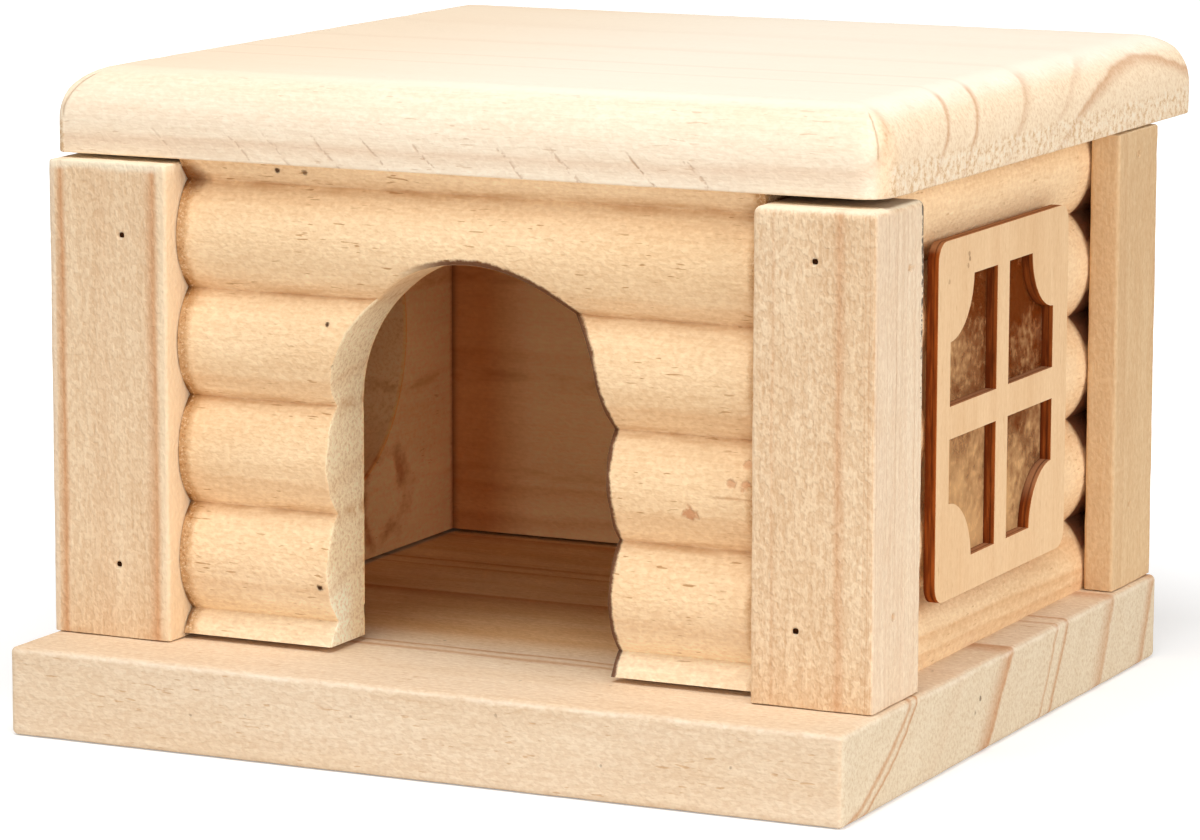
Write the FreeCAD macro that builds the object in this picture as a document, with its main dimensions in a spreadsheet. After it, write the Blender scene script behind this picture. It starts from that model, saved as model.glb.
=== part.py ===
import FreeCAD, Part
import Sketcher
import math
import os
import re

# A small wooden hamster house, in millimetres.
#
# A thick base board carries four corner posts. Walls with a log profile stand between the posts,
# the front one with an arched door, the side ones with a round hole behind a four-pane window frame.
# A rounded-over board lies loose on the walls as the roof.
#
# X runs across the front, Y from the front to the back, Z up. The origin is on the underside of the
# base, at the centre of the rectangle that the whole house covers.

os.makedirs("parts", exist_ok=True)
doc = FreeCAD.newDocument("hamster_house")

sheet = doc.addObject("Spreadsheet::Sheet", "dims")
DIMENSIONS = (
    # base board
    ("base_width", 120.0),
    ("base_depth", 114.5),
    ("base_thickness", 12.1),
    ("base_front", -64.45),
    ("base_edge_round", 0.9),
    # the posts' outer faces, the middle between them, and the posts' sections
    ("house_middle", -0.4),
    ("house_half_width", 59.5),
    ("post_front_face", -53.15),
    ("post_depth", 15.9),
    ("left_post_width", 18.0),
    ("right_post_width", 16.9),
    ("post_top", 75.4),
    ("rear_post_front", 34.05),
    ("post_lip", 4.5),
    ("post_edge_round", 0.5),
    # log profile of the walls: a row of equal arcs that meet in sharp valleys
    ("log_pitch", 14.42),
    ("log_radius", 9.72),
    ("wall_thickness", 10.5),
    ("wall_top", 76.5),
    ("front_wall_bottom", 12.8),
    ("front_first_valley", 15.9),
    ("front_wall_crest", -50.45),
    ("side_wall_bottom", 12.4),
    ("far_wall_bottom", 13.0),
    ("side_first_valley", 21.5),
    ("side_wall_crest", 54.42),
    ("back_wall_crest", 45.25),
    # arched door
    ("door_middle", 0.75),
    ("door_width", 40.7),
    ("door_spring", 44.6),
    # window: hole in the wall, film over it, frame over the film
    ("window_middle", -2.1),
    ("window_height", 44.5),
    ("window_hole_radius", 22.2),
    ("film_side", 44.5),
    ("film_thickness", 0.3),
    ("frame_side", 47.3),
    ("frame_thickness", 1.6),
    ("frame_corner_round", 2.6),
    ("pane_shift_along", -0.5),
    ("pane_shift_up", -0.3),
    ("pane_group_half", 18.7),
    ("bar_half", 2.15),
    ("bite_radius", 8.5),
    ("bite_overshoot", 0.4),
    # roof board
    ("roof_width", 117.9),
    ("roof_depth", 115.3),
    ("roof_front", -50.85),
    ("roof_thickness", 11.6),
    ("roof_round", 7.2),
    # headless pins, driven a little below the surface
    ("pin_half_width", 0.36),
    ("pin_half_height", 0.32),
    ("pin_sunk", 0.5),
    ("pin_length", 26.0),
    ("front_pin_left_low_across", -49.8),
    ("front_pin_left_low_up", 22.0),
    ("front_pin_left_high_across", -48.8),
    ("front_pin_left_high_up", 66.3),
    ("front_pin_right_low_across", 48.4),
    ("front_pin_right_low_up", 21.9),
    ("front_pin_right_high_across", 50.6),
    ("front_pin_right_high_up", 68.8),
    ("side_pin_front_low_along", -46.3),
    ("side_pin_front_low_up", 23.5),
    ("side_pin_front_high_along", -42.1),
    ("side_pin_front_high_up", 67.2),
    ("side_pin_rear_low_along", 40.6),
    ("side_pin_rear_low_up", 23.5),
    ("side_pin_rear_high_along", 41.9),
    ("side_pin_rear_high_up", 72.9),
)
for row, (name, size) in enumerate(DIMENSIONS, start=1):
    sheet.set(f"A{row}", name)
    sheet.set(f"B{row}", str(size))
    sheet.setAlias(f"B{row}", name)
doc.recompute()


def linked(text):
    """Turn the plain dimension names in a formula into references to the sheet."""
    names = {name for name, _ in DIMENSIONS}
    return re.sub(r"[a-z_]+", lambda word: "dims." + word[0] if word[0] in names else word[0], text)


def number(text):
    """The value of a formula over the dimension names."""
    return float(sheet.evalExpression(linked(text)))


# Bodies and sketches


def new_body(label, x="0", y="0", z="0", turn=0):
    """A body at a place that follows the sheet, turned about Z by whole degrees."""
    body = doc.addObject("PartDesign::Body", label)
    body.Label = label
    turned = FreeCAD.Rotation(FreeCAD.Vector(0, 0, 1), turn)
    body.Placement = FreeCAD.Placement(FreeCAD.Vector(number(x), number(y), number(z)), turned)
    for axis, text in (("x", x), ("y", y), ("z", z)):
        body.setExpression("Placement.Base." + axis, linked(text))
    return body


def new_sketch(body, label, plane):
    """An empty sketch on one of the body's own origin planes."""
    sketch = body.newObject("Sketcher::SketchObject", label)
    support = [item for item in body.Origin.OriginFeatures if item.Role == plane][0]
    sketch.AttachmentSupport = (support, "")
    sketch.MapMode = "FlatFace"
    return sketch


def pin_axis(sketch, geometry, point, axis, text):
    """Hold one coordinate of a sketch's point (axis 0 across, 1 up) at a formula."""
    size = number(text)
    kind = ("DistanceX", "DistanceY")[axis]
    if abs(size) < 1e-9:
        sketch.addConstraint(Sketcher.Constraint("PointOnObject", geometry, point, (-2, -1)[axis]))
    elif size > 0:
        held = sketch.addConstraint(Sketcher.Constraint(kind, -1, 1, geometry, point, size))
        sketch.setExpression(f"Constraints[{held}]", linked(text))
    else:
        held = sketch.addConstraint(Sketcher.Constraint(kind, geometry, point, -1, 1, -size))
        sketch.setExpression(f"Constraints[{held}]", linked("-(" + text + ")"))


def pin_point(sketch, geometry, point, across, up):
    """Hold a sketch's point at two formulas, measured from the sketch's origin."""
    pin_axis(sketch, geometry, point, 0, across)
    pin_axis(sketch, geometry, point, 1, up)


def arc_between(start, end, radius, side):
    """The shorter arc between two points, bulging to the right (side 1) or left (-1) of the way."""
    chord = end - start
    back = max(radius**2 - (chord.Length / 2) ** 2, 0) ** 0.5
    centre = (start + end) * 0.5 - FreeCAD.Vector(chord.y, -chord.x, 0).normalize() * (side * back)
    first, last = (start, end) if side > 0 else (end, start)
    angles = [math.atan2(point.y - centre.y, point.x - centre.x) for point in (first, last)]
    if angles[1] < angles[0]:
        angles[1] += 2 * math.pi
    return Part.ArcOfCircle(Part.Circle(centre, FreeCAD.Vector(0, 0, 1), radius), *angles)


def draw_outline(sketch, corners, arcs=None):
    """Close a loop through the corners; arcs gives {segment: (radius formula, side)}."""
    arcs = arcs or {}
    points = [FreeCAD.Vector(number(across), number(up), 0) for across, up in corners]
    ends = []
    for place, start in enumerate(points):
        end = points[(place + 1) % len(points)]
        if place in arcs:
            radius, side = arcs[place]
            geometry = sketch.addGeometry(arc_between(start, end, number(radius), side))
            ends.append((geometry, 1, 2) if side > 0 else (geometry, 2, 1))
        else:
            geometry = sketch.addGeometry(Part.LineSegment(start, end))
            ends.append((geometry, 1, 2))
    for place, (geometry, first, _) in enumerate(ends):
        before, _, last = ends[place - 1]
        sketch.addConstraint(Sketcher.Constraint("Coincident", before, last, geometry, first))
        pin_point(sketch, geometry, first, *corners[place])
    for place, (radius, _) in arcs.items():
        half_circle = abs((points[place] - points[place + 1]).Length - 2 * number(radius)) < 1e-6
        if half_circle:
            flat = abs(points[place].y - points[place + 1].y) < 1e-6
            axis = 1 if flat else 0
            pin_axis(sketch, ends[place][0], 3, axis, corners[place][axis])
        else:
            held = sketch.addConstraint(Sketcher.Constraint("Radius", ends[place][0], number(radius)))
            sketch.setExpression(f"Constraints[{held}]", linked(radius))


def draw_rectangle(sketch, left, right, low, high):
    """A rectangle between four formulas."""
    draw_outline(sketch, ((left, low), (right, low), (right, high), (left, high)))


def draw_circle(sketch, across, up, radius):
    """A circle with its centre and radius held by formulas."""
    centre = FreeCAD.Vector(number(across), number(up), 0)
    circle = Part.Circle(centre, FreeCAD.Vector(0, 0, 1), number(radius))
    geometry = sketch.addGeometry(circle)
    pin_point(sketch, geometry, 3, across, up)
    held = sketch.addConstraint(Sketcher.Constraint("Radius", geometry, number(radius)))
    sketch.setExpression(f"Constraints[{held}]", linked(radius))


def pad(body, sketch, length, backwards=False):
    """Extrude a sketch along its normal, or the other way."""
    feature = body.newObject("PartDesign::Pad", sketch.Label + "_pad")
    feature.Profile = sketch
    feature.Reversed = backwards
    feature.Length = number(length)
    feature.setExpression("Length", linked(length))
    doc.recompute()
    return feature


def cut(body, sketch, length, backwards=False):
    """Cut a sketch into the body and make sure that it takes material away."""
    before = body.Shape.Volume
    feature = body.newObject("PartDesign::Pocket", sketch.Label + "_cut")
    feature.Profile = sketch
    feature.Reversed = backwards
    feature.Length = number(length)
    feature.setExpression("Length", linked(length))
    doc.recompute()
    if body.Shape.Volume > before - 0.1:
        raise ValueError(f"{body.Label}: {sketch.Label} cuts nothing")
    return feature


def round_edges(body, radius, wanted):
    """Fillet the edges whose two end points both satisfy the test."""
    base = body.Tip
    names = []
    for place, edge in enumerate(base.Shape.Edges, start=1):
        if len(edge.Vertexes) == 2 and wanted(edge.Vertexes[0].Point, edge.Vertexes[1].Point):
            names.append(f"Edge{place}")
    fillet = body.newObject("PartDesign::Fillet", body.Label + "_round")
    fillet.Base = (base, names)
    fillet.Radius = number(radius)
    fillet.setExpression("Radius", linked(radius))
    doc.recompute()
    return fillet


def upright(first, second):
    """True for an edge that runs along Z."""
    return abs(first.x - second.x) < 1e-6 and abs(first.y - second.y) < 1e-6


# Pins. Each set is given as (across, up) formulas on the face that the pins are driven through.

FRONT_PINS = {
    "left": (
        ("front_pin_left_low_across", "front_pin_left_low_up"),
        ("front_pin_left_high_across", "front_pin_left_high_up"),
    ),
    "right": (
        ("front_pin_right_low_across", "front_pin_right_low_up"),
        ("front_pin_right_high_across", "front_pin_right_high_up"),
    ),
}
SIDE_PINS = {
    "front": (
        ("side_pin_front_low_along", "side_pin_front_low_up"),
        ("side_pin_front_high_along", "side_pin_front_high_up"),
    ),
    "rear": (
        ("side_pin_rear_low_along", "side_pin_rear_low_up"),
        ("side_pin_rear_high_along", "side_pin_rear_high_up"),
    ),
}
RIGHT_FACE = "house_middle + house_half_width"
LEFT_FACE = "house_middle - house_half_width"


def face_sketch(body, label, plane, distance):
    """A sketch parallel to an origin plane of a body that isn't turned."""
    sketch = new_sketch(body, label, plane)
    sketch.setExpression("AttachmentOffset.Base.z", linked(distance))
    return sketch


def draw_pins(sketch, places):
    """One small rectangle for each pin."""
    for across, up in places:
        draw_rectangle(sketch, f"{across} - pin_half_width", f"{across} + pin_half_width",
                       f"{up} - pin_half_height", f"{up} + pin_half_height")


def drive_holes(body, label, places, plane, face, along_normal):
    """Cut the pins' holes from a face into a body, as deep as the pins reach."""
    sketch = face_sketch(body, label, plane, face)
    draw_pins(sketch, places)
    cut(body, sketch, "pin_sunk + pin_length", backwards=along_normal)


def make_pins(label, places, plane, face, along_normal):
    """A set of pins as separate solids of one node."""
    body = new_body(label)
    body.AllowCompound = True
    start = f"{face} {'+' if along_normal else '-'} pin_sunk"
    sketch = face_sketch(body, label + "_section", plane, start)
    draw_pins(sketch, places)
    pad(body, sketch, "pin_length", backwards=not along_normal)


# Base board

base = new_body("base_board", y="base_front")
sketch = new_sketch(base, "base_outline", "XY_Plane")
draw_rectangle(sketch, "-base_width / 2", "base_width / 2", "0", "base_depth")
pad(base, sketch, "base_thickness")
round_edges(base, "base_edge_round", lambda first, second: True)

# Corner posts. The front ones are solid; the rear ones have a rebate that wraps the walls' corner.

POST_BACK = "post_front_face + post_depth"
REAR_POST_BACK = "rear_post_front + post_depth"
POST_SPANS = {
    "left": (LEFT_FACE, "house_middle - house_half_width + left_post_width"),
    "right": ("house_middle + house_half_width - right_post_width", RIGHT_FACE),
}

for side, (left, right) in POST_SPANS.items():
    post = new_body("post_front_" + side)
    sketch = face_sketch(post, f"post_front_{side}_section", "XY_Plane", "base_thickness")
    draw_rectangle(sketch, left, right, "post_front_face", POST_BACK)
    pad(post, sketch, "post_top - base_thickness")
    round_edges(post, "post_edge_round", upright)
    drive_holes(post, f"post_{side}_front_holes", FRONT_PINS[side], "XZ_Plane", "-post_front_face", False)
    if side == "right":
        drive_holes(post, "post_right_side_holes", SIDE_PINS["front"], "YZ_Plane", RIGHT_FACE, False)
    else:
        drive_holes(post, "post_left_side_holes", SIDE_PINS["front"], "YZ_Plane", LEFT_FACE, True)

for side, (left, right) in POST_SPANS.items():
    outer, inner, lip = (left, right, "+ post_lip") if side == "left" else (right, left, "- post_lip")
    post = new_body("post_rear_" + side)
    sketch = face_sketch(post, f"post_rear_{side}_section", "XY_Plane", "base_thickness")
    corners = (
        (outer, "rear_post_front"),
        (outer, REAR_POST_BACK),
        (inner, REAR_POST_BACK),
        (inner, REAR_POST_BACK + " - post_lip"),
        (outer + lip, REAR_POST_BACK + " - post_lip"),
        (outer + lip, "rear_post_front"),
    )
    draw_outline(sketch, corners)
    pad(post, sketch, "post_top - base_thickness")
    outer_x = number(outer)

    def outside(first, second):
        """True for the upright edges on the post's outer side face."""
        return upright(first, second) and abs(first.x - outer_x) < 1e-6

    round_edges(post, "post_edge_round", outside)
    if side == "right":
        drive_holes(post, "rear_right_side_holes", SIDE_PINS["rear"], "YZ_Plane", RIGHT_FACE, False)
    else:
        drive_holes(post, "rear_left_side_holes", SIDE_PINS["rear"], "YZ_Plane", LEFT_FACE, True)

# Walls. A wall is drawn in profile as a stack of arcs that bulge outwards and meet in valleys.


def sag(height, middle):
    """Formula for how far the face of a log lies behind its crest at a height."""
    return f"(log_radius - sqrt(log_radius^2 - (({height}) - ({middle}))^2))"


def draw_log_profile(sketch, crest, inward, bottom, first_valley):
    """A wall's section; inward is 1 or -1 along the sketch's first axis."""
    sign = "+" if inward > 0 else "-"
    count = int((number("wall_top") - number(first_valley)) / number("log_pitch")) + 1
    valleys = [f"{first_valley} + {place} * log_pitch" for place in range(count)]
    heights = [bottom, *valleys, "wall_top"]
    middles = [f"{first_valley} + {place - 0.5} * log_pitch" for place in range(count + 1)]
    corners = [(f"{crest} {sign} {sag(heights[0], middles[0])}", bottom)]
    for height, middle in zip(heights[1:], middles):
        corners.append((f"{crest} {sign} {sag(height, middle)}", height))
    corners.append((f"{crest} {sign} wall_thickness", "wall_top"))
    corners.append((f"{crest} {sign} wall_thickness", bottom))
    arcs = {place: ("log_radius", -inward) for place in range(len(middles))}
    draw_outline(sketch, corners, arcs)


FRONT_WALL_SPAN = "2 * house_half_width - left_post_width - right_post_width"
front_wall = new_body("front_wall")
sketch = face_sketch(front_wall, "front_wall_profile", "YZ_Plane", POST_SPANS["left"][1])
draw_log_profile(sketch, "front_wall_crest", 1, "front_wall_bottom", "front_first_valley")
pad(front_wall, sketch, FRONT_WALL_SPAN)
door = face_sketch(front_wall, "door_outline", "XZ_Plane", "-front_wall_crest")
corners = (
    ("door_middle - door_width / 2", "front_wall_bottom - 1"),
    ("door_middle + door_width / 2", "front_wall_bottom - 1"),
    ("door_middle + door_width / 2", "door_spring"),
    ("door_middle - door_width / 2", "door_spring"),
)
draw_outline(door, corners, {2: ("door_width / 2", 1)})
cut(front_wall, door, "wall_thickness")

# The side walls run from the front posts to the rear posts' back legs, the back wall between them.

SIDE_CRESTS = {"left": "2 * house_middle - side_wall_crest", "right": "side_wall_crest"}
SIDE_BOTTOMS = {"left": "far_wall_bottom", "right": "side_wall_bottom"}
INWARD = {"left": 1, "right": -1}
OUTER_FACES = {"left": LEFT_FACE, "right": RIGHT_FACE}
SIDE_WALL_LENGTH = "rear_post_front - post_lip - post_front_face"

for side, crest in SIDE_CRESTS.items():
    wall = new_body(side + "_wall")
    sketch = face_sketch(wall, side + "_wall_profile", "XZ_Plane", "-(" + POST_BACK + ")")
    draw_log_profile(sketch, crest, INWARD[side], SIDE_BOTTOMS[side], "side_first_valley")
    pad(wall, sketch, SIDE_WALL_LENGTH, backwards=True)
    hole = face_sketch(wall, side + "_window_hole", "YZ_Plane", crest)
    draw_circle(hole, "window_middle", "window_height", "window_hole_radius")
    cut(wall, hole, "wall_thickness", backwards=INWARD[side] > 0)
    inwards = INWARD[side] > 0
    drive_holes(wall, side + "_wall_front_holes", FRONT_PINS[side], "XZ_Plane", "-post_front_face", False)
    drive_holes(wall, side + "_wall_rear_holes", SIDE_PINS["rear"], "YZ_Plane", OUTER_FACES[side], inwards)

BACK_WALL_LENGTH = "2 * (side_wall_crest - wall_thickness - house_middle)"
back_wall = new_body("back_wall")
sketch = face_sketch(back_wall, "back_wall_profile", "YZ_Plane", SIDE_CRESTS["left"] + " + wall_thickness")
draw_log_profile(sketch, "back_wall_crest", -1, "far_wall_bottom", "side_first_valley")
pad(back_wall, sketch, BACK_WALL_LENGTH)

for side, face in OUTER_FACES.items():
    inwards = INWARD[side] > 0
    drive_holes(front_wall, f"front_wall_{side}_holes", SIDE_PINS["front"], "YZ_Plane", face, inwards)
    drive_holes(back_wall, f"back_wall_{side}_holes", SIDE_PINS["rear"], "YZ_Plane", face, inwards)

# Windows. A film lies on the logs' crests, and the plywood frame on the film.

PANES_ALONG = "window_middle + pane_shift_along"
PANES_UP = "window_height + pane_shift_up"
BITE_END = "(pane_group_half + bite_overshoot - sqrt(bite_radius^2 - bite_overshoot^2))"


def draw_pane(sketch, along, up):
    """One pane; along and up are the signs of its quarter. The outer corner is bitten by an arc."""
    near = "bar_half"
    far = "pane_group_half"
    steps = ((near, near), (far, near), (far, BITE_END), (BITE_END, far), (near, far))
    corners = []
    for step_along, step_up in steps:
        corners.append((f"{PANES_ALONG} + ({along}) * {step_along}", f"{PANES_UP} + ({up}) * {step_up}"))
    draw_outline(sketch, corners, {2: ("bite_radius", -along * up)})


for side, crest in SIDE_CRESTS.items():
    outward = "-" if INWARD[side] > 0 else "+"
    film = new_body(side + "_window_film")
    sketch = face_sketch(film, side + "_film_outline", "YZ_Plane", crest)
    half = "film_side / 2"
    draw_rectangle(sketch, f"window_middle - {half}", f"window_middle + {half}",
                   f"window_height - {half}", f"window_height + {half}")
    pad(film, sketch, "film_thickness", backwards=INWARD[side] > 0)

    frame = new_body(side + "_window_frame")
    face = f"{crest} {outward} film_thickness"
    sketch = face_sketch(frame, side + "_frame_outline", "YZ_Plane", face)
    half = "frame_side / 2"
    draw_rectangle(sketch, f"window_middle - {half}", f"window_middle + {half}",
                   f"window_height - {half}", f"window_height + {half}")
    pad(frame, sketch, "frame_thickness", backwards=INWARD[side] > 0)

    def through_plate(first, second):
        """True for the short edges that run through the plate's thickness."""
        return abs(first.y - second.y) < 1e-6 and abs(first.z - second.z) < 1e-6

    round_edges(frame, "frame_corner_round", through_plate)
    panes = face_sketch(frame, side + "_panes", "YZ_Plane", face)
    for along in (-1, 1):
        for up in (-1, 1):
            draw_pane(panes, along, up)
    cut(frame, panes, "frame_thickness", backwards=INWARD[side] < 0)

# Pins

make_pins("pins_front", FRONT_PINS["left"] + FRONT_PINS["right"], "XZ_Plane", "-post_front_face", False)
for side, face in OUTER_FACES.items():
    make_pins("pins_" + side, SIDE_PINS["front"] + SIDE_PINS["rear"], "YZ_Plane", face, INWARD[side] > 0)

# Roof board, lying loose on the walls

roof = new_body("roof_board", y="roof_front", z="wall_top")
sketch = new_sketch(roof, "roof_outline", "XY_Plane")
draw_rectangle(sketch, "-roof_width / 2", "roof_width / 2", "0", "roof_depth")
pad(roof, sketch, "roof_thickness")


def on_roof_top(first, second):
    """True for the four edges of the board's top face."""
    return min(first.z, second.z) > number("roof_thickness") - 1e-6


round_edges(roof, "roof_round", on_roof_top)

# Check every object, then write one file per piece

doc.recompute()
for item in doc.Objects:
    if {"Invalid", "Error"} & set(item.State):
        raise ValueError(f"{item.Label}: {item.State}")
total = 0
for body in [item for item in doc.Objects if item.TypeId == "PartDesign::Body"]:
    shape = body.Shape
    if shape.isNull() or not shape.isValid() or not shape.Solids:
        raise ValueError(f"{body.Label}: bad shape")
    shape.exportStep(f"parts/{body.Label}.step")
    total += 1
    print(f"{body.Label}: {len(shape.Solids)} solids, {shape.Volume / 1000:.2f} cm3, {shape.BoundBox}")
print(total, "pieces written")
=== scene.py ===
# %% [markdown]
# # A small wooden hamster house
#
# The house is made of bare pine: a thick base board, four corner posts, walls milled so that they
# look like stacked logs, a laser-cut window on each side and a loose roof board with rounded edges.
# Its pieces are simple, so most of the work goes into the wood: the growth rings, the fibres, the
# fuzz that sanding leaves, and how each differs between a face along the grain and a cut end.
#
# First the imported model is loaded. It gives the place of every piece.

import bpy
import numpy as np
from mathutils import Matrix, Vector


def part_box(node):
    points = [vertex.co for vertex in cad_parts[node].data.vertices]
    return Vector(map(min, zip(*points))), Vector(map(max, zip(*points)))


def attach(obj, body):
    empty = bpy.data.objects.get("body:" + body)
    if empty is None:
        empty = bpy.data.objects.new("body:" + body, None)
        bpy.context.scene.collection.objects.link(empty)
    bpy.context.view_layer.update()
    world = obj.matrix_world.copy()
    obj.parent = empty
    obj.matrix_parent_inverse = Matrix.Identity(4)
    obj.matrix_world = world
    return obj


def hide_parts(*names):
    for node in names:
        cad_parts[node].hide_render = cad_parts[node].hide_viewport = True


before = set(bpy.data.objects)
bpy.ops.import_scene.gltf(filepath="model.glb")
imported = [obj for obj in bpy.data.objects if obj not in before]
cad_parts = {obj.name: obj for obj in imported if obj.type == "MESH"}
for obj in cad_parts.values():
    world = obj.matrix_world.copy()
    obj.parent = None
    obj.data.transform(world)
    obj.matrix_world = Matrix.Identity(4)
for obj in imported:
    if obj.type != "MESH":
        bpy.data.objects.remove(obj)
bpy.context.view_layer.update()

MM = 0.001


def box_mm(node):
    """A node's lowest and highest corners as numpy arrays in millimetres."""
    low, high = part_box(node)
    return np.array(low) / MM, np.array(high) / MM


print("nodes:", ", ".join(sorted(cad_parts)))

# %% [markdown]
# ## Camera, light and floor
#
# The camera has a long lens, so the upright edges stay almost parallel. Its three axes are written
# down as they were measured: right, down and forward.
#
# The light is soft and close to even. A large lamp above the front makes the top the brightest
# side, and one on the right keeps the window side from going grey. Two small ones stand low in
# front, so that some light passes through the door and reaches the back wall. The world fills in
# the rest. Rays that go straight to the camera see a white world, but the wood is lit by a dimmer
# one.

# %% Camera
scene = bpy.context.scene
scene.view_settings.view_transform = "Standard"

EYE = np.array((302.8, -643.1, 156.2))
RIGHT = np.array((0.90239, 0.43091, 0.0024))
DOWN = np.array((0.07325, -0.1479, -0.98629))
FORWARD = np.array((-0.42465, 0.89019, -0.16502))
FOCAL_PIXELS = 5227.7
IMAGE_WIDTH = 1200


def put(name, data, axes=np.eye(3), place=(0, 0, 0)):
    """An object in the scene, with its axes as columns, at a place in millimetres."""
    pose = np.eye(4)
    pose[:3, :3] = axes
    pose[:3, 3] = np.array(place) * MM
    made = bpy.data.objects.new(name, data)
    made.matrix_world = Matrix(pose.tolist())
    scene.collection.objects.link(made)
    return made


lens = bpy.data.cameras.new("camera")
lens.sensor_width = 36.0
lens.lens = FOCAL_PIXELS / IMAGE_WIDTH * lens.sensor_width
lens.clip_start = 0.01
scene.camera = put("camera", lens, np.stack((RIGHT, -DOWN, -FORWARD), axis=1), EYE)
print("lens:", round(lens.lens, 1), "mm")

# %% [markdown]
# ## Writing a material as arithmetic
#
# Blender's materials are networks of nodes, which get long when they are typed out one by one. A
# small class makes them short: a wire is the output of a node, and adding or multiplying two wires
# adds the node that does it. Everything that isn't arithmetic comes from one method, `node`.

# %% A wire that can stand in an expression
def plug(node, given):
    """Give a node's inputs their wires or, set on the input itself, their constants."""
    for name, value in given.items():
        if isinstance(value, Wire):
            value.tree.links.new(value.output, node.inputs[name])
        else:
            node.inputs[name].default_value = value


class Wire:
    """One output of a node. Arithmetic on wires adds Math nodes to their tree."""

    def __init__(self, tree, output):
        self.tree = tree
        self.output = output

    def node(self, kind, settings=None, inputs=None, take=0):
        """Add a node: its settings first, then a number or a wire for each input."""
        made = self.tree.nodes.new(kind)
        for name, setting in (settings or {}).items():
            if name == "stops":
                ramp = made.color_ramp.elements
                ramp[0].position, ramp[0].color = setting[0]
                ramp[1].position, ramp[1].color = setting[-1]
                for place, colour in setting[1:-1]:
                    ramp.new(place).color = colour
            else:
                setattr(made, name, setting)
        plug(made, inputs or {})
        return Wire(self.tree, made.outputs[take])

    def math(self, operation, other=0.0, swapped=False):
        """One Math node on this value and another, or the other way round."""
        first, second = (other, self) if swapped else (self, other)
        return self.node("ShaderNodeMath", {"operation": operation}, {0: first, 1: second})

    def __abs__(self):
        return self.math("ABSOLUTE")

    def __add__(self, other):
        return self.math("ADD", other)

    def __sub__(self, other):
        return self.math("SUBTRACT", other)

    def __rsub__(self, other):
        return self.math("SUBTRACT", other, swapped=True)

    def __mul__(self, other):
        return self.math("MULTIPLY", other)

    def __truediv__(self, other):
        return self.math("DIVIDE", other)

    __radd__ = __add__
    __rmul__ = __mul__

    def between(self, low, high, smooth=True):
        """0 up to low and 1 from high on, with a soft or even step; high may be the smaller one."""
        kind = {"interpolation_type": "SMOOTHSTEP" if smooth else "LINEAR"}
        flip = low > high
        step = self.node("ShaderNodeMapRange", kind, {0: self, 1: min(low, high), 2: max(low, high)})
        return 1.0 - step if flip else step

    def bell(self, middle, width):
        """1 at the middle, falling to 0 on both sides like exp(-(distance / width)^2)."""
        away = (self - middle) / width
        return (away * away * -1.0).math("EXPONENT")

    def stretched(self, factors):
        """A vector multiplied by a factor along each axis."""
        return self.node("ShaderNodeVectorMath", {"operation": "MULTIPLY"}, {0: self, 1: factors})

    def mix(self, first, second):
        """Blend two colours: the first where this value is 0, the second where it is 1."""
        picks = {0: self, 6: first, 7: second}
        return self.node("ShaderNodeMix", {"data_type": "RGBA"}, picks, take=2)

    def tinted(self, factor, tint):
        """A colour multiplied by the three parts of a tint, as far as the factor says."""
        kind = {"data_type": "RGBA", "blend_type": "MULTIPLY"}
        tint = tint if isinstance(tint, Wire) else (*tint, 1.0)
        return self.node("ShaderNodeMix", kind, {0: factor, 6: self, 7: tint}, take=2)

    def painted(self, *coats):
        """This colour under thin coats, each an amount from 0 to 1 and a colour for rgb."""
        for amount, *shade in coats:
            self = amount.mix(self, rgb(*shade))
        return self

    def noise(self, detail=2.0, roughness=0.5, scale=1.0):
        """Blender's noise texture read at this vector, with so many cells to a unit."""
        inputs = {"Vector": self, "Scale": scale, "Detail": detail, "Roughness": roughness}
        return self.node("ShaderNodeTexNoise", None, inputs)

    def distance(self, place):
        """How far this point is from a place."""
        return self.node("ShaderNodeVectorMath", {"operation": "DISTANCE"}, {0: self, 1: place}, 1)

    def bump(self, strength):
        """The normal of a surface that is raised by this many millimetres."""
        inputs = {"Strength": strength, "Distance": MM, "Height": self}
        return self.node("ShaderNodeBump", None, inputs)

    def split(self):
        """The three parts of a vector."""
        parts = self.node("ShaderNodeSeparateXYZ", None, {0: self}).output.node
        return [Wire(self.tree, output) for output in parts.outputs]

    def facing(self):
        """The three parts of the surface's normal here."""
        given = self.tree.nodes.new("ShaderNodeTexCoord").outputs["Normal"]
        return Wire(self.tree, given).split()

# %% Colours and new materials
def rgb(red, green, blue):
    """A colour given in display steps of 0 to 255, as the linear values that a shader works with."""
    steps = np.array((red, green, blue)) / 255
    linear = np.where(steps <= 0.04045, steps / 12.92, ((steps + 0.055) / 1.055) ** 2.4)
    return (*linear.tolist(), 1.0)


def grey(level):
    """A linear grey."""
    return (level, level, level, 1.0)


def length(first, second):
    """The long side of a right triangle: the square root of first^2 + second^2."""
    return (first * first + second * second).math("SQRT")


def new_material(name):
    """A matt material: the material, its shader node and a wire with the place in millimetres."""
    material = bpy.data.materials.new(name)
    material.use_nodes = True
    tree = material.node_tree
    shader = tree.nodes["Principled BSDF"]
    shader.inputs["Specular IOR Level"].default_value = 0.0
    place = tree.nodes.new("ShaderNodeTexCoord").outputs["Object"]
    at = Wire(tree, place).stretched((1 / MM, 1 / MM, 1 / MM))
    return material, shader, at

# %% Light
def seen_directly(tree):
    """1 for the rays of the camera, of gloss and of glass, which show the background itself."""
    rays = tree.nodes.new("ShaderNodeLightPath").outputs
    seen = Wire(tree, rays["Is Camera Ray"])
    for kind in ("Is Glossy Ray", "Is Transmission Ray"):
        seen = seen.math("MAXIMUM", Wire(tree, rays[kind]))
    return seen


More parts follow.
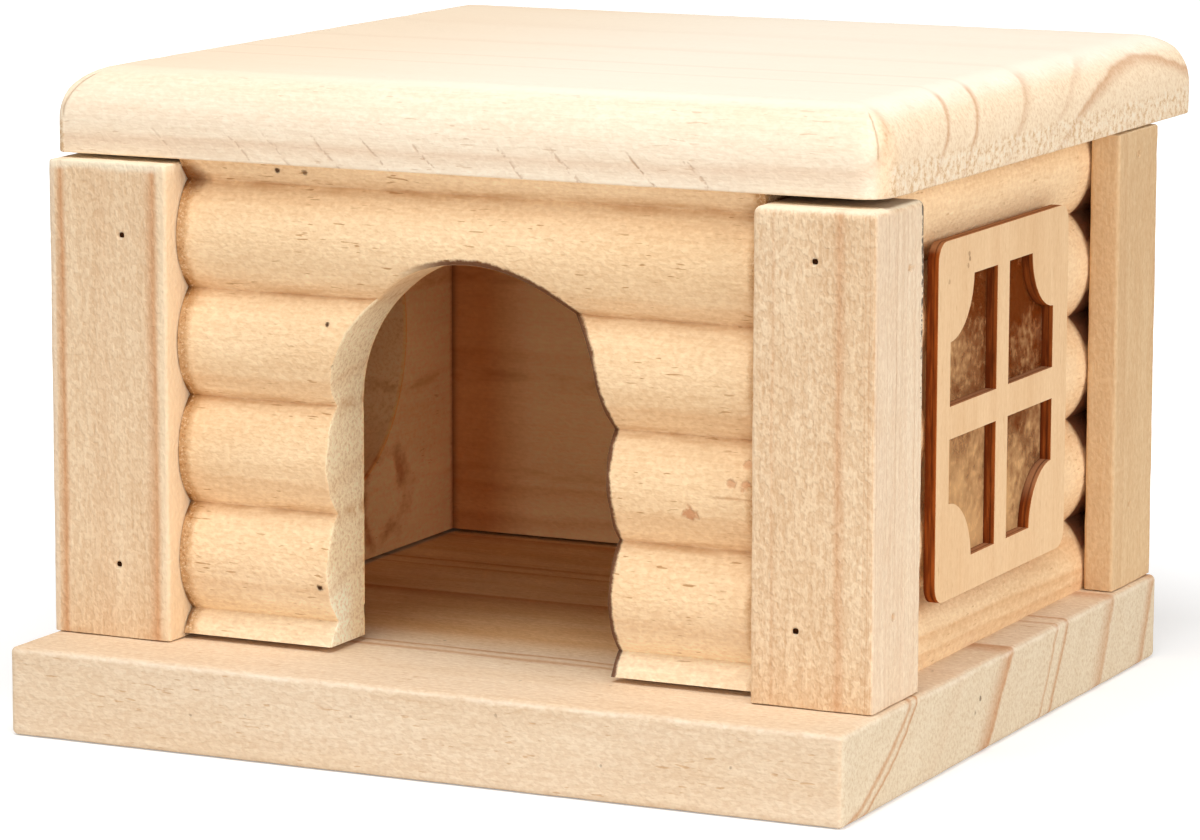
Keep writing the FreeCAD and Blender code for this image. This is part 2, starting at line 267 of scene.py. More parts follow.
WORLD_LEVEL = 0.37
world = bpy.data.worlds.new("studio")
scene.world = world
world.use_nodes = True
backdrop = world.node_tree.nodes["Background"]
level = seen_directly(world.node_tree) * (1.0 - WORLD_LEVEL) + WORLD_LEVEL
plug(backdrop, {"Strength": level, "Color": grey(1.0)})


def lamp(name, place, aim, size, power):
    """A square area lamp at a place, turned to face its aim; both in millimetres."""
    data = bpy.data.lights.new(name, "AREA")
    data.size = size * MM
    data.energy = power
    away = np.array(place, float) - np.array(aim, float)
    away /= np.linalg.norm(away)
    side = np.cross((0.0, 0.0, 1.0), away)
    side /= np.linalg.norm(side)
    put(name, data, np.stack((side, np.cross(away, side), away), axis=1), place)
    print(f"{name}: {power} W at {place}")


lamp("key", place=(15, -350, 900), aim=(0, 0, 40), size=600, power=5.5)
lamp("low_right", place=(430, -700, 170), aim=(0, 0, 45), size=300, power=0.7)
lamp("low_front", place=(40, -800, 130), aim=(0, 0, 45), size=300, power=0.55)
lamp("right_fill", place=(850, -200, 300), aim=(0, 0, 40), size=500, power=3.2)

# %% [markdown]
# The floor is a plain white sheet. To the camera it adds a little light of its own, so that it
# reads as white as the world behind it, while the shadow of the house stays on it.

# %% Floor
FLOOR_HALF = 3000.0
floor_mesh = bpy.data.meshes.new("floor")
corners = np.array(((-1, -1, 0), (1, -1, 0), (1, 1, 0), (-1, 1, 0))) * FLOOR_HALF * MM
floor_mesh.from_pydata(corners.tolist(), [], [(0, 1, 2, 3)])
floor = put("floor", floor_mesh)
floor_look, floor_shader, at = new_material("floor_white")
far = at.distance((0.0, 0.0, 0.0)).between(90.0, 260.0)
glow = seen_directly(floor_look.node_tree).mix(grey(0.0), far.mix(grey(0.3), grey(1.0)))
plug(floor_shader, {"Base Color": far.mix(grey(0.86), grey(0.5)), "Roughness": 1.0,
                    "Emission Color": glow, "Emission Strength": 1.0})
floor_mesh.materials.append(floor_look)

# %% [markdown]
# ## Two ways to make a piece
#
# Every wooden piece here is either a stack of rings or a slab.
#
# *A stack of rings* suits the boards and the posts. A ring is the outline of the piece seen from
# above. Going up, it first grows by the rounding of the lower edge, then stays, and shrinks again
# by the rounding of the upper edge. The last ring is closed by one flat face.
#
# *A slab* suits the walls and the window frames. It is one grid of points for the outer side, one
# for the inner side, and a rim wherever the grid ends or a hole begins. The columns of the grid
# follow the outline of the hole, so a round hole needs no cutting.
#
# Both end in the same place: rows of corner numbers that are written straight into a mesh.

# %% From arrays to a mesh
def make_mesh(name, points, quads, caps=()):
    """A mesh object from points in millimetres, rows of four corners, and larger flat faces.

    Points that fall in one place become one. A corner that repeats the one before it is left out,
    and a face needs three that are left. If the volume, the sum over the faces of the triple
    product of their corners, comes out negative, every face is turned round.
    """
    keys = np.round(points / 2e-4).astype(np.int64)
    _, first, place = np.unique(keys, axis=0, return_index=True, return_inverse=True)
    place = place.reshape(-1)
    quads = place[np.asarray(quads)]
    keep = quads != np.roll(quads, 1, axis=1)
    whole = keep.sum(axis=1) >= 3
    corners = [quads[whole][keep[whole]]]
    sizes = [keep[whole].sum(axis=1)]
    for cap in caps:
        loop = place[np.asarray(cap)]
        loop = loop[loop != np.roll(loop, 1)]
        corners.append(loop)
        sizes.append(np.array([len(loop)]))
    corners, sizes = np.concatenate(corners), np.concatenate(sizes)
    used, corners = np.unique(corners, return_inverse=True)
    corners = corners.reshape(-1)
    spots = points[first][used]
    starts = np.concatenate(([0], np.cumsum(sizes)[:-1]))

    tips = spots[corners]
    owner = np.repeat(np.arange(len(sizes)), sizes)
    following = np.roll(np.arange(len(corners)), -1)
    following[starts + sizes - 1] = starts
    anchor = tips[starts][owner]
    volume = np.einsum("ij,ij->i", anchor, np.cross(tips, tips[following])).sum() / 6
    if volume < 0:
        mirror = np.arange(len(corners))
        corners = corners[2 * starts[owner] + sizes[owner] - 1 - mirror]

    mesh = bpy.data.meshes.new(name)
    mesh.vertices.add(len(spots))
    mesh.vertices.foreach_set("co", (spots * MM).ravel())
    mesh.loops.add(len(corners))
    mesh.loops.foreach_set("vertex_index", corners)
    mesh.polygons.add(len(sizes))
    mesh.polygons.foreach_set("loop_start", starts)
    mesh.update(calc_edges=True)
    mesh.validate()
    mesh.shade_smooth()
    mesh.set_sharp_from_angle(angle=np.radians(40.0))
    print(f"{name}: {len(mesh.polygons)} faces, {abs(volume) / 1000:.1f} cm3")
    return put(name, mesh)

# %% An uneven surface
def uneven(points, size, seed):
    """A smooth uneven field from 0 to 1: the mean of ten sine waves about one size long.

    Each wave is sin(direction . point * 2 pi / length + phase), with its own fixed random
    direction, length and phase.
    """
    dice = np.random.default_rng(seed)
    ways = dice.normal(size=(10, 3))
    ways /= np.linalg.norm(ways, axis=1, keepdims=True)
    ways *= (2 * np.pi / (size * dice.uniform(0.6, 1.7, 10)))[:, None]
    waves = np.sin(points @ ways.T + dice.uniform(0, 2 * np.pi, 10))
    return np.clip(0.5 + 0.7 * waves.mean(axis=-1), 0.0, 1.0)

# %% A stack of rings
def ring(corners, inset, radius, ticks):
    """The outline of a piece with square corners, moved inwards, and its outward normals.

    A corner moves against the sum of the normals of its two sides. A convex one is then rounded:
    centre + r * (cos t * first normal + sin t * second normal) for t from 0 to a quarter turn,
    where r is the radius less the inset. ticks gives the points along each side, 0 to 1.
    """
    along = np.roll(corners, -1, axis=0) - corners
    along = along / np.linalg.norm(along, axis=1, keepdims=True)
    second = np.stack((along[:, 1], -along[:, 0]), axis=1)
    first = np.roll(second, 1, axis=0)
    convex = first[:, 0] * second[:, 1] - first[:, 1] * second[:, 0] > 0
    rounding = np.where(convex, np.maximum(radius - inset, 0.0), 0.0)[:, None]
    centres = corners - (inset + rounding) * (first + second)
    quarter = np.linspace(0, np.pi / 2, 6)[None, :, None]
    bends = np.cos(quarter) * first[:, None] + np.sin(quarter) * second[:, None]
    arcs = centres[:, None] + rounding[:, None] * bends
    points, normals = [], []
    for side, places in enumerate(ticks):
        start, end = arcs[side, -1], arcs[(side + 1) % len(arcs), 0]
        points += [arcs[side], start + places[:, None] * (end - start)]
        normals += [bends[side], np.repeat(second[side : side + 1], len(places), axis=0)]
    return np.concatenate(points), np.concatenate(normals)


def edge_profile(low, high, round_low, round_high, step, extra=()):
    """Rows (inset, height, upward part of the normal) of a board's edge from its foot to its top.

    An upper rounding of radius r has rows inset = r (1 - cos t), height = top - r + r sin t, with
    sin t for the upward part of the normal; the lower one mirrors it.
    """
    def rounding(radius, edge, way, count):
        sine, cosine = [turn(np.radians(np.linspace(0, 90, count))) for turn in (np.sin, np.cos)]
        return list(zip(radius * (1 - cosine), edge - way * radius * (1 - sine), way * sine))

    inner = [(0.0, height, 0.0) for height in ladder(low, high, step, extra)
             if low + round_low < height < high - round_high]
    upper = rounding(round_high, high, 1, 7 if round_high < 2 else 19)
    return rounding(round_low, low, -1, 7)[::-1] + inner + upper


def stack(name, corners, profile, radius, ticks, wear, seed, dents=()):
    """A closed piece from rings piled up along a profile.

    wear is how far the surface may sink unevenly, along its normal. A dent (place, depth, reach)
    sinks it further by depth * exp(-(distance / reach)^6), a well with steep sides.
    """
    corners = np.asarray(corners, float)
    layers = []
    for inset, height, upward in profile:
        flat, out = ring(corners, inset, radius, ticks)
        spots = np.column_stack((flat, np.full(len(flat), height)))
        normals = np.column_stack((out * (1 - upward**2) ** 0.5, np.full(len(flat), upward)))
        sunk = wear * (0.6 * uneven(spots, 9.0, seed) + 0.4 * uneven(spots, 2.2, seed + 1))
        for place, depth, reach in dents:
            apart = np.linalg.norm(spots - np.asarray(place), axis=1)
            sunk = sunk + depth * np.exp(-((apart / reach) ** 6))
        layers.append(spots - normals * sunk[:, None])
    around = len(layers[0])
    row, column = np.meshgrid(np.arange(len(layers) - 1), np.arange(around), indexing="ij")
    beside = (column + 1) % around
    quads = np.stack((row * around + column, row * around + beside,
                      (row + 1) * around + beside, (row + 1) * around + column), axis=-1)
    caps = (np.arange(around)[::-1], (len(layers) - 1) * around + np.arange(around))
    return make_mesh(name, np.concatenate(layers), quads.reshape(-1, 4), caps)

# %% A slab
def facing_front(across, depth, up):
    """Points of a plate that faces the front or the back."""
    return np.stack(np.broadcast_arrays(across, depth, up), axis=-1)


def facing_side(along, depth, up):
    """Points of a plate that faces a side."""
    return np.stack(np.broadcast_arrays(depth, along, up), axis=-1)


LAYERS = np.array((0.0, 0.12, 0.35, 1.2, 2.6, 4.0, 5.5, 7.0, 8.6, 99.0))
EASE = (1.0, 0.4, 0.1, 0.0, 0.0, 0.0, 0.0, 0.0, 0.0, 0.0)


def slab(name, columns, rows, outer, inner, facing, present=None, push=None, wave=None):
    """A plate with holes, from a grid whose columns follow the holes.

    columns[i, j] is the place of column j in row i, or columns[j] if all rows are alike, and
    present[i, j] says whether the cell between rows i, i + 1 and columns j, j + 1 is wood. The
    outer side lies at outer and the inner side at inner, a number or one for each point. push
    moves the points of the outer side a little away from a hole, and the next layers down less,
    which eases its edge. wave(columns, rows, depth) makes the sawn rim uneven.
    """
    columns = np.broadcast_to(columns, (len(rows), np.shape(columns)[-1]))
    if present is None:
        present = np.ones((len(rows) - 1, columns.shape[1] - 1), bool)
    depth = abs(inner - outer)
    down = np.unique(np.minimum(LAYERS, depth.max()))
    heights = np.broadcast_to(rows[:, None], columns.shape)
    across_push, up_push = push if push is not None else (0 * columns, 0 * columns)
    layers = []
    for step, deep in enumerate(down):
        part = np.clip(deep / depth, 0, 1) if step < len(down) - 1 else np.ones_like(depth)
        flat = columns + EASE[step] * across_push
        tall = heights + EASE[step] * up_push
        if wave is not None and 1 <= step < len(down) - 1:
            flat = flat + wave(flat, tall, deep)
        layers.append(facing(flat, outer + part * (inner - outer), tall))
    layers = np.stack(layers).reshape(len(down), -1, 3)

    tall, wide = columns.shape
    number = np.arange(tall * wide).reshape(tall, wide)
    inside = np.zeros((tall + 1, wide + 1), bool)
    inside[1:-1, 1:-1] = present
    quads = np.stack((number[:-1, :-1], number[:-1, 1:], number[1:, 1:], number[1:, :-1]), -1)
    left_of, right_of = inside[1:-1, :-1], inside[1:-1, 1:]
    below, above = inside[:-1, 1:-1], inside[1:, 1:-1]
    lower, upper, near, far = number[:-1], number[1:], number[:, :-1], number[:, 1:]
    rims = [(lower, upper, right_of & ~left_of), (upper, lower, left_of & ~right_of),
            (far, near, above & ~below), (near, far, below & ~above)]
    start, end = [np.concatenate([rim[side][rim[2]] for rim in rims]) for side in (0, 1)]
    size = tall * wide
    faces = [quads[present], quads[present][:, ::-1] + size * (len(down) - 1)]
    for step in range(len(down) - 1):
        here, there = size * step, size * (step + 1)
        faces.append(np.stack((start + here, end + here, end + there, start + there), -1))
    return make_mesh(name, layers.reshape(-1, 3), np.concatenate(faces))


def ladder(low, high, step, extra=()):
    """Rising numbers from low to high about one step apart, with the extra ones among them."""
    plain = np.linspace(low, high, int(np.ceil((high - low) / step)) + 1)
    wanted = np.array([value for value in np.ravel(extra) if low < value < high])
    if len(wanted):
        far = np.abs(plain[:, None] - wanted).min(axis=1) > 0.35 * step
        far[[0, -1]] = True
        plain = np.concatenate((plain[far], wanted))
    return np.unique(np.round(plain, 4))

# %% [markdown]
# ## The wood
#
# All the wood is the same pale pine, sawn and sanded but not oiled. Its look has four sizes of
# detail. The largest is the slow drift of tint over a few centimetres. Then come the growth rings:
# a tree adds a pale band in spring and a darker line in late summer, so a board shows slices of
# cylinders round the tree's middle, the pith. Smaller are the short resin lines along the grain.
# The smallest is the fuzz that coarse sanding leaves, a grain of light and dark dots.
#
# One function makes every wood. It is told which way the grain runs and where the pith was, and
# it gets a list of the growth lines that stand out, each by its distance from the pith. A list
# suits so small a thing better than an even pattern, because each board shows only a few lines,
# some thin and double and some broad and faint.

# %% The wood function
def bands(value, lines):
    """A strength from 0 to 1 that peaks at each line (place, strength, width before, after)."""
    low, high = lines[0][0] - 6.0, lines[-1][0] + 6.0
    stops = [(low, 0.0)]
    for place, strength, before, after in lines:
        stops += [(place - before, 0.0), (place, strength), (place + after, 0.0)]
    stops = [((place - low) / (high - low), grey(level)) for place, level in stops]
    share = value.between(low, high, smooth=False)
    return value.node("ShaderNodeValToRGB", {"stops": stops}, {"Fac": share})


def toned(colour, amount):
    """A colour made lighter (above 0) or darker (below 0). Darker wood is also warmer."""
    parts = [amount * share + 1.0 for share in (0.65, 1.0, 1.3)]
    return colour.stretched(colour.node("ShaderNodeCombineXYZ", None, dict(enumerate(parts))))


def pitted(at, colour, height, pits, stain=rgb(56, 20, 2)):
    """Small dark pits, or stains of another colour: each a place, a radius and a strength."""
    ragged = at.noise(scale=1.3) - 0.5
    for place, radius, strength in pits:
        apart = at.distance(place) + ragged * (1.6 * radius)
        hole = apart.between(radius, radius * 0.4) * strength
        colour = hole.mix(colour, stain)
        height = height - hole * 0.4
    return colour, height


def wood(name, grain, pith, tones, lines, fuzz=0.9, dashes=0.5, drift=0.6, wander=1.0, speckle=1.0,
         extra=None):
    """Pine whose grain runs along an axis (0, 1 or 2), with its pith at a point across it.

    tones holds four colours: the pale wood, its darker drift, the growth line and the cut end.
    fuzz, dashes, drift, wander and speckle say how strong each kind of detail is, and
    extra(at, colour, height) adds what only one piece has.
    """
    material, shader, at = new_material(name)
    pale, dark, line, cut_end = tones

    def grained(across, along, detail=2.0, roughness=0.5):
        """Noise with cells of one size across the grain and another along it, in millimetres."""
        factors = [1 / across] * 3
        factors[grain] = 1 / along
        return at.stretched(factors).noise(detail, roughness)

    across = [axis for axis in range(3) if axis != grain]
    first, second = [at.split()[axis] - middle for axis, middle in zip(across, pith)]
    wavering = (grained(14.0, 90.0) - 0.5) * (4.0 * wander)
    radius = length(first, second) + wavering + (grained(2.5, 20.0) - 0.5) * 0.7
    end = abs(at.facing()[grain]).between(0.5, 0.85)
    along_face = 1.0 - end

    slow = grained(11.0, 45.0, 3.0, 0.6)
    streaks = grained(0.8, 14.0, 3.0, 0.6)
    fibres = grained(0.28, 3.5, 2.0, 0.6)
    fluff = grained(0.45, 0.8, 2.0, 0.6)
    blobs = grained(0.6, 0.9, 1.0).between(0.42, 0.62) * along_face
    dots = at.noise(2.0, 0.7, scale=1.9)
    dash = grained(0.38, 2.4, 1.0, 0.4).between(0.68, 0.74)
    dash = dash * grained(6.0, 9.0, 0.0).between(0.45, 0.60) * along_face
    faint = (radius / 1.1 + slow * 4.0).math("SINE")

    colour = (slow.between(0.38, 0.68) * drift).mix(pale, dark)
    colour = end.mix(colour, cut_end)
    strength = bands(radius, lines) * (streaks * 0.9 + 0.55)
    colour = strength.mix(colour, line)
    colour = (dash * dashes).mix(colour, rgb(196, 146, 96))
    grainy = (streaks - 0.5) * (0.12 + 0.14 * fuzz) + faint * 0.015 + (blobs - 0.5) * (0.10 * fuzz)
    grainy = grainy + ((fibres - 0.5) * 0.2 + (fluff - 0.5) * (0.45 * fuzz)) * along_face
    cut = (dots - 0.5) * 0.8 - dots.between(0.60, 0.68) * 0.13
    colour = toned(colour, grainy + cut * end * speckle)
    height = fibres * 0.04 * along_face + fluff * (0.10 * fuzz) + blobs * (0.06 * fuzz)
    height = height + dots * end * (0.14 * speckle) - dash * 0.04
    if extra:
        colour, height = extra(at, colour, height)
    plug(shader, {"Base Color": colour, "Normal": height.bump(0.7), "Roughness": fluff * 0.2 + 0.6})
    print(f"{name}: {len(at.tree.nodes)} nodes")
    return material


LOG_TONES = (rgb(251, 216, 172), rgb(240, 200, 153), rgb(222, 168, 116), rgb(255, 233, 194))
POST_TONES = (rgb(238, 207, 170), rgb(230, 194, 154), rgb(212, 158, 114), rgb(246, 226, 196))
REAR_TONES = (rgb(226, 191, 148), rgb(216, 176, 132), rgb(198, 146, 100), rgb(236, 208, 168))
BOARD_TONES = (rgb(234, 209, 179), rgb(228, 199, 165), rgb(200, 146, 104), rgb(229, 210, 181))
ROOF_TONES = (rgb(255, 241, 219), rgb(252, 231, 203), rgb(212, 162, 122), rgb(250, 225, 192))

# %% [markdown]
# ## The base board
#
# A plain board with its edges just broken by sandpaper. Its right end is a cut across the grain,
# so the growth lines show there as arcs, and on the long faces as streaks. The pith was in front of
# the board and above it. Each line is soft on the side of the pith and sharp on the other, because
# a tree's year begins abruptly after winter.

# %% Base wood
# Each growth line: its distance from the pith, its strength, its width before and after.
BASE_LINES = [(69.4, 0.95, 0.7, 0.35), (70.9, 0.9, 0.5, 0.35), (82.0, 0.12, 3.0, 1.0),
              (95.8, 0.85, 4.0, 0.5), (110.2, 0.65, 0.8, 0.35), (113.7, 0.8, 1.2, 0.4),
              (130.0, 0.6, 3.5, 0.8), (144.9, 0.7, 2.5, 0.8)]
BASE_PITS = [((-32.4, -64.4, 5.4), 0.3, 0.3), ((-24.2, -64.4, 6.2), 0.25, 0.2),
             ((-8.7, -64.4, 7.6), 0.25, 0.3), ((12.1, -64.4, 9.8), 0.3, 0.25),
             ((26.9, -64.4, 4.8), 0.25, 0.35), ((44.8, -64.4, 6.4), 0.25, 0.3),
             ((60.0, -18.1, 7.5), 0.4, 0.6), ((60.0, -19.9, 5.9), 0.35, 0.4),
             ((-9.9, -35.5, 12.1), 0.3, 0.35), ((10.2, -53.4, 12.1), 0.35, 0.25),
             ((21.9, -51.0, 12.1), 0.35, 0.25), ((55.9, -35.2, 12.1), 0.35, 0.6),
             ((55.6, -31.0, 12.1), 0.3, 0.5), ((55.7, -24.6, 12.1), 0.25, 0.5),
             ((56.2, 4.0, 12.1), 0.25, 0.4)]
MIDDLE_ACROSS = -0.4


def base_marks(at, colour, height):
    """Painted shade on the room's floor, a pale upper edge of wear and painted highlight, and the
    pits of the base board.
    """
    across, along, up = at.split()
    # Painted shade: the floor inside the room darkens from the door inwards, streaked along the
    # grain.
    shade = abs(across - MIDDLE_ACROSS).between(44.5, 43.5) * along.between(-40.0, -27.0)
    shade = shade * along.between(41.0, 40.0) * up.between(11.0, 11.9)
    streaks = at.stretched((0.03, 0.18, 0.18)).noise(3.0, 0.6).between(0.25, 0.75)
    brown = streaks.mix((1.0, 0.74, 0.47, 1.0), (1.14, 0.97, 0.73, 1.0))
    colour = colour.tinted(shade, brown)
    # The pale upper edge is partly rubbed wear and partly a painted highlight where the sanding fuzz
    # catches the light.
    rubbed = (up + at.noise(3.0, 0.7, scale=0.3) * 1.6).between(11.9, 12.7)
    outside = along.between(-64.0, -64.4).math("MAXIMUM", across.between(59.6, 60.0))
    colour = (rubbed * outside * 0.7).mix(colour, rgb(250, 234, 212))
    return pitted(at, colour, height, BASE_PITS)


base_wood = wood("base_wood", 0, (-86.0, 65.0), BOARD_TONES, BASE_LINES, fuzz=0.8, wander=0.5,
                 extra=base_marks)

# %% Base board
DENT_STEPS = np.linspace(-0.75, 0.75, 11)


def side_ticks(corners, step, marks=()):
    """For each side, its inner points as fractions, closer together where a mark lies on it."""
    corners = np.asarray(corners, float)
    ticks = []
    for start, end in zip(corners, np.roll(corners, -1, axis=0)):
        span = np.linalg.norm(end - start)
        way = (end - start) / span
        extra = []
        for mark in marks:
            offset = np.asarray(mark) - start
            if abs(offset @ (way[1], -way[0])) < 0.01:
                extra.append(offset @ way + DENT_STEPS)
        ticks.append(ladder(0.6, span - 0.6, step, np.ravel(extra)) / span)
    return ticks


def rectangle(low, high):
    """The four corners of a box seen from above, counter-clockwise."""
    return np.array(((low[0], low[1]), (high[0], low[1]), (high[0], high[1]), (low[0], high[1])))


def finish_piece(piece, material, node, body):
    """Give a piece its material, hide the node that it stands for, and attach it to what it rides on.
    """
    piece.data.materials.append(material)
    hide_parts(node)
    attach(piece, body)


low, high = box_mm("base_board")
corners = rectangle(low, high)
profile = edge_profile(low[2], high[2], 0.9, 0.9, 1.5)
base = stack("base", corners, profile, 0.9, side_ticks(corners, 2.0), 0.15, 11)
finish_piece(base, base_wood, "base_board", "house")

# %% [markdown]
# ## The corner posts
#
# Four upright pieces of square section. The two behind have a rebate that takes the corner of the
# walls, so from above they are an L. Thin headless pins are driven through them into the walls, and
# each has left a small hole, with the steel just below the surface.
#
# The two front posts are cut close to a broad growth line, which runs down their faces as a pinkish
# stripe. The grain stands upright, so the same distance from the pith gives a straight line.

# %% Post wood
LEFT_POST_LINES = [(52.2, 0.3, 0.5, 0.4), (53.7, 0.95, 1.9, 0.7), (60.0, 0.1, 3.0, 1.5),
                   (67.5, 0.85, 1.5, 0.8)]
RIGHT_POST_LINES = [(51.05, 0.3, 0.1, 0.1), (51.3, 0.4, 0.1, 0.1), (51.6, 0.25, 0.1, 0.1),
                    (51.9, 0.45, 0.15, 0.1), (52.5, 0.35, 0.15, 0.1), (56.0, 0.6, 1.2, 0.8),
                    (64.8, 0.35, 0.4, 0.2)]
REAR_POST_LINES = [(120.5, 0.2, 0.5, 0.3), (124.0, 0.25, 2.0, 0.6), (131.0, 0.2, 2.5, 0.6)]


def post_marks(at, colour, height):
    """A pale rim of wear and painted highlight, paler sides, a painted highlight on the left post's
    inner edge, painted roof shade on the right post's top and a painted shadow along its rear edge,
    each only where the front posts are.
    """
    across, along, up = at.split()
    in_front = along.between(-30.0, -34.0)
    # The pale top rim is partly rubbed wear and partly a painted highlight where the rounded edge
    # catches the light.
    rim = (up + at.noise(scale=0.4)).between(75.0, 76.0) * in_front
    sides = abs(across).between(58.7, 59.05) * along.between(-30.0, -36.0)
    fine = at.stretched((0.0, 1.5, 0.008)).noise(2.0, 0.8).between(0.52, 0.72)
    # Painted highlight: a pale strip along the left post's inner edge, where its corner turns to the
    # light.
    painted_edge_highlight = across.between(-43.7, -42.7) * across.between(-30.0, -41.0)
    ragged = at.noise(4.0, 0.8, scale=0.9)
    # Painted shadow: the right front post's top is darkened behind its front edge, where the roof
    # shades it.
    roof_shade_on_post = up.between(75.2, 75.45) * (along + ragged * 2.0).between(-48.5, -47.0)
    roof_shade_on_post = roof_shade_on_post * across.between(40.0, 42.0) * in_front
    # Painted shadow: a dark ragged line along the right front post's rear edge, for the shadow of the
    # gap behind it.
    rear_edge_shadow = (along + ragged).between(-37.9, -37.6) * along.between(-36.0, -36.8)
    rear_edge_shadow = rear_edge_shadow * across.between(58.2, 58.7) * (ragged + (up - 60.0) * 0.007).between(0.46, 0.56)
    colour = colour.painted((rim * 0.8, 252, 236, 208), (sides * 0.45, 250, 232, 208),
                            (fine * sides * 0.4, 198, 156, 120), (painted_edge_highlight * 0.5, 252, 230, 196),
                            (roof_shade_on_post * 0.65, 112, 68, 40), (rear_edge_shadow * 0.85, 66, 58, 56))
    return colour, height


left_post_wood = wood("post_wood_left", 2, (-110.0, -66.0), POST_TONES, LEFT_POST_LINES,
                      fuzz=1.05, dashes=0.1, wander=0.25, extra=post_marks)
right_post_wood = wood("post_wood_right", 2, (110.0, -53.0), POST_TONES, RIGHT_POST_LINES,
                       fuzz=1.4, dashes=0.1, wander=0.25, extra=post_marks)
rear_post_wood = wood("post_wood_rear", 2, (0.0, -80.0), REAR_TONES, REAR_POST_LINES,
                      fuzz=0.7, dashes=0.25, extra=post_marks)

# %% One post
FRONT_PINS = {"left": ((-49.8, 22.0), (-48.8, 66.3)), "right": ((48.4, 21.9), (50.6, 68.8))}
SIDE_PINS = {"front": ((-46.3, 23.5), (-42.1, 67.2)), "rear": ((40.6, 23.5), (41.9, 72.9))}
REBATE = 4.5
RUBBED_TOP, SAWN_TOP = 1.2, 0.45
TOP_LIFT = {"post_front_left": 0.6, "post_front_right": 0.1,
            "post_rear_left": 1.0, "post_rear_right": 1.0}


def post(name, node, corners, pins, material, seed):
    """A post with a dent at each pin; pins are points on its faces.

    Hand sawing left the posts a few tenths of a millimetre apart in height, and the top of one is
    rubbed round.
    """
    low, high = box_mm(node)
    high[2] += TOP_LIFT[node]
    round_top = RUBBED_TOP if node == "post_front_right" else SAWN_TOP
    dent_rows = np.ravel([pin[2] + DENT_STEPS for pin in pins])
    profile = edge_profile(low[2], high[2], 0.15, round_top, 1.6, dent_rows)
    ticks = side_ticks(corners, 1.6, [pin[:2] for pin in pins])
    dents = [(pin, 0.62, 0.48) for pin in pins]
    piece = stack(name, corners, profile, 0.6, ticks, 0.2, seed, dents)
    finish_piece(piece, material, node, "house")


def outer_inner(low, high, side):
    """The x of a box's outer and inner face, on the left or the right side of the house."""
    return (low[0], high[0]) if side == "left" else (high[0], low[0])

# %% The four posts
for side, place in (("left", 0), ("right", 1)):
    low, high = box_mm("post_front_" + side)
    outer, _ = outer_inner(low, high, side)
    pins = [(across, low[1], up) for across, up in FRONT_PINS[side]]
    pins += [(outer, along, up) for along, up in SIDE_PINS["front"]]
    material = (left_post_wood, right_post_wood)[place]
    post("front_post_" + side, "post_front_" + side, rectangle(low, high), pins, material,
         seed=21 + place)

    low, high = box_mm("post_rear_" + side)
    outer, inner = outer_inner(low, high, side)
    lip = outer + REBATE * np.sign(inner - outer)
    corners = [(lip, low[1]), (outer, low[1]), (outer, high[1]), (inner, high[1]),
               (inner, high[1] - REBATE), (lip, high[1] - REBATE)]
    if side == "left":
        corners = corners[::-1]
    pins = [(outer, along, up) for along, up in SIDE_PINS["rear"]]
    post("rear_post_" + side, "post_rear_" + side, np.array(corners), pins, rear_post_wood,
         seed=31 + place)

# %% [markdown]
# ## Log walls
#
# Each wall is one board, moulded so that its outer side looks like a stack of logs: arcs of a
# circle, one above the other, that meet in sharp valleys. The inner side is flat. The front wall
# has an arched door, and the side walls a round hole behind the window frame.
#
# The valleys are darkened as painted shade, and the ends beside the posts are browner, partly from a
# little scorching and partly from painted shade. The jambs of the door are cut across the grain, so
# they look greyer and speckled. The inner sides are painted a warmer brown, as painted light for
# light that has already met wood.

# %% The measures of the logs
FRONT_LINES = [(72.0, 0.2, 3.0, 0.8), (86.0, 0.25, 2.0, 0.6), (99.0, 0.22, 3.0, 0.8),
               (112.0, 0.3, 2.5, 0.6), (124.0, 0.25, 3.0, 0.8), (135.0, 0.2, 2.0, 0.6)]
SIDE_LINES = [(63.6, 0.4, 1.0, 0.4), (65.4, 0.5, 1.2, 0.4), (68.0, 0.5, 1.6, 0.5),
              (81.0, 0.25, 2.0, 0.6), (97.0, 0.2, 3.0, 0.8), (112.0, 0.25, 2.0, 0.6)]
PITCH, LOG_RADIUS, THICK = 14.42, 9.72, 10.5
FRONT_VALLEY, SIDE_VALLEY, FRONT_FACE = 15.9, 21.5, -50.45
DOOR_MIDDLE, DOOR_RADIUS, DOOR_SPRING = 0.75, 20.35, 44.6
HOLE_RADIUS, HOLE_MIDDLE, HOLE_HEIGHT = 22.2, -2.1, 44.5
# Painted light: the walls' inner sides are tinted warmer and a little brighter, for light that has
# already met wood.
INSIDE_LIGHT_TINT = (1.14, 1.04, 0.88)
# Where the saw slipped inwards on the door's right side: the height, the reach and how far.
SLIPS = ((49.3, 5.0, 1.1), (40.5, 4.0, 0.45))


def sag(height, valley):
    """How far a log's face lies behind its crest: r - sqrt(r^2 - h^2), h from its middle."""
    from_middle = (height - valley) % PITCH - PITCH / 2
    return LOG_RADIUS - np.sqrt(LOG_RADIUS**2 - from_middle**2)


def on_front(marks):
    """Marks (across, up, radius, strength) placed on the face of the front wall's logs."""
    return [((across, FRONT_FACE + float(sag(up, FRONT_VALLEY)), up), radius, strength)
            for across, up, radius, strength in marks]


FRONT_PITS = on_front([(-27.5, 75.6, 0.55, 0.9), (-23.4, 75.5, 0.5, 0.6), (-19.8, 55.9, 0.45, 0.9),
                       (-18.5, 50.2, 0.7, 0.95), (-20.8, 20.8, 0.6, 0.95)])
FRONT_STAINS = on_front([(32.6, 35.1, 1.3, 0.75), (38.3, 39.5, 0.8, 0.6), (40.2, 39.3, 0.9, 0.6),
                         (40.2, 42.0, 0.8, 0.5)])

# %% Marks that every log wall has
def groove(up, valley):
    """The distance from the nearest valley between two logs."""
    turn = (up - (valley - PITCH / 2)) / PITCH
    return abs(turn.math("FRACT") - 0.5) * PITCH


